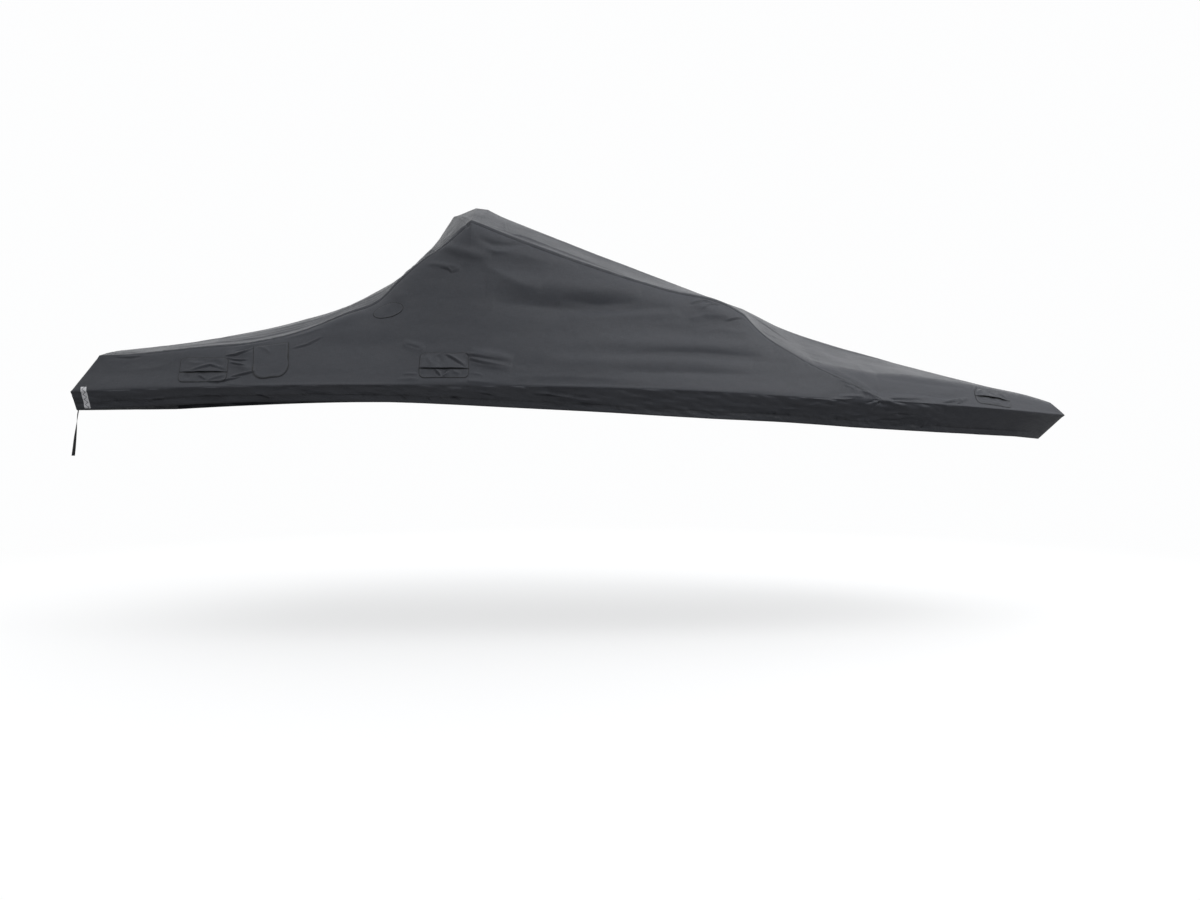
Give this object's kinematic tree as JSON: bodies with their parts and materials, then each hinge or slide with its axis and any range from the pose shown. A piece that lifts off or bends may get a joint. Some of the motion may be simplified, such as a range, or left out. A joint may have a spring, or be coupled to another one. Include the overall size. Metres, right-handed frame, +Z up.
{
  "type": "boat cover",
  "caption": "Fitted travel cover for a tow boat with a tower: a hollow cloth shell peaked over the tower, with hooded vents, an access flap and a skirt below the rub rail.",
  "frame": {"origin": "the point under the middle of the roof where the top of the boat's tower carries the cover", "axes": "+X towards the bow, +Y to port, +Z up"},
  "size_m": [7.0949, 2.5702, 1.809],
  "materials": {
    "charcoal_cloth": "coated woven polyester, dull",
    "light_tape": "pale woven tape, satin",
    "black_webbing": "black woven webbing, dull"
  },
  "bodies": {
    "root": {"roof_aft": "charcoal_cloth", "roof_fore": "charcoal_cloth", "side_panel_stbd": "charcoal_cloth", "side_panel_port": "charcoal_cloth", "stern_panel": "charcoal_cloth", "skirt_stbd": "charcoal_cloth", "skirt_port": "charcoal_cloth", "stern_skirt": "charcoal_cloth", "vent_hood_aft_stbd": "charcoal_cloth", "vent_hood_aft_port": "charcoal_cloth", "vent_hood_mid_stbd": "charcoal_cloth", "vent_hood_mid_port": "charcoal_cloth", "vent_hood_bow_stbd": "charcoal_cloth", "vent_hood_bow_port": "charcoal_cloth", "vent_flap_aft_stbd": "charcoal_cloth", "vent_flap_aft_port": "charcoal_cloth", "vent_flap_mid_stbd": "charcoal_cloth", "vent_flap_mid_port": "charcoal_cloth", "vent_flap_bow_stbd": "charcoal_cloth", "vent_flap_bow_port": "charcoal_cloth", "access_flap_stbd": "charcoal_cloth", "access_flap_port": "charcoal_cloth", "oval_patch_stbd": "charcoal_cloth", "oval_patch_port": "charcoal_cloth", "corner_tape_stbd": "light_tape", "corner_tape_port": "light_tape", "stern_tie": "black_webbing"}
  },
  "joints": []
}
